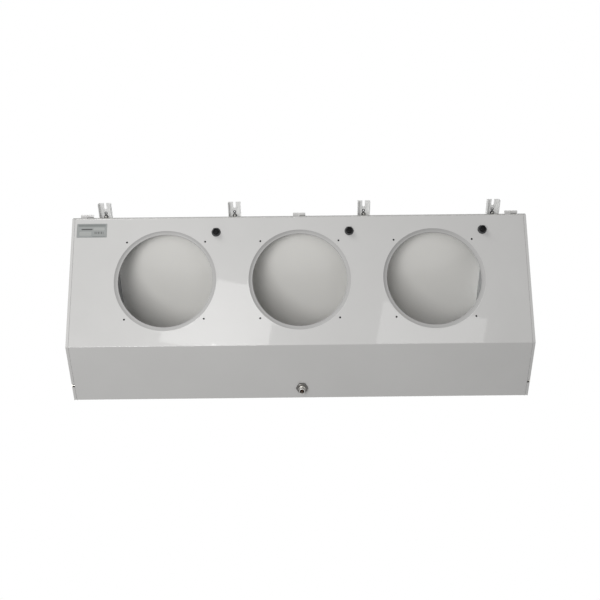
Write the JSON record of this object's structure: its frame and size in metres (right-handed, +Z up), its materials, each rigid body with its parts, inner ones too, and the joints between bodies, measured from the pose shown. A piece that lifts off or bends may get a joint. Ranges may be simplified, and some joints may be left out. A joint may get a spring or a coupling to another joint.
{
  "type": "walk-in unit cooler",
  "caption": "Slim ceiling-hung unit cooler with a sloping panel of empty flared fan openings, a drain pan that swings down, a finned coil and hanger rails.",
  "frame": {"origin": "middle of the rectangle of hanging holes, in the plane of the hanger rails' tops, which meets the ceiling", "axes": "+X along the casing from the pipe end to the cable end, +Y towards the air outlet, away from the sloping fan panel, +Z up as it hangs"},
  "size_m": [1.2476, 0.526, 0.2502],
  "materials": {
    "casing_paint": "light grey-white powder coat, semi-gloss",
    "rail_metal": "zinc-coated, satin",
    "galvanised_sheet": "galvanised, dull",
    "plated_steel": "zinc-plated",
    "plate_metal": "satin",
    "black_plastic": "fine grain",
    "dark_plastic": "plain",
    "grey_plastic": "plain",
    "fin_aluminium": "mill finish",
    "copper": "bare copper, drawn",
    "brass": "machined"
  },
  "bodies": {
    "casing": {"casing_hinge_leaves": "casing_paint", "hinge_pins": "plated_steel", "top_cover": "casing_paint", "right_side_cover": "casing_paint", "left_side_cover": "casing_paint", "right_tube_plate": "galvanised_sheet", "left_tube_plate": "galvanised_sheet", "coil_support_plates": "galvanised_sheet", "coil_fins": "fin_aluminium", "coil_hairpins": "copper", "coil_return_bends": "copper", "suction_header": "copper", "liquid_distributor": "brass", "distributor_leads": "copper", "junction_box": "grey_plastic", "junction_box_lid": "grey_plastic", "terminal_block": "dark_plastic", "rail_nuts": "plated_steel", "hanger_rail_1": "rail_metal", "hanger_rail_2": "rail_metal", "hanger_rail_3": "rail_metal", "hanger_rail_4": "rail_metal"},
    "tray": {"drip_tray": "casing_paint", "rating_plate": "plate_metal", "cable_glands": "black_plastic", "gland_locknuts": "black_plastic", "drain_spigot": "plated_steel", "drain_nut": "plated_steel", "tray_hinge_leaves": "casing_paint", "tray_side_screws": "plated_steel"}
  },
  "joints": [
    {"name": "tray_swing", "type": "hinge", "parent": "casing", "child": "tray", "pos_m": [0, -0.23149, -0.01952], "axis": [-1, 0, 0], "range_deg": [0, 90]}
  ]
}
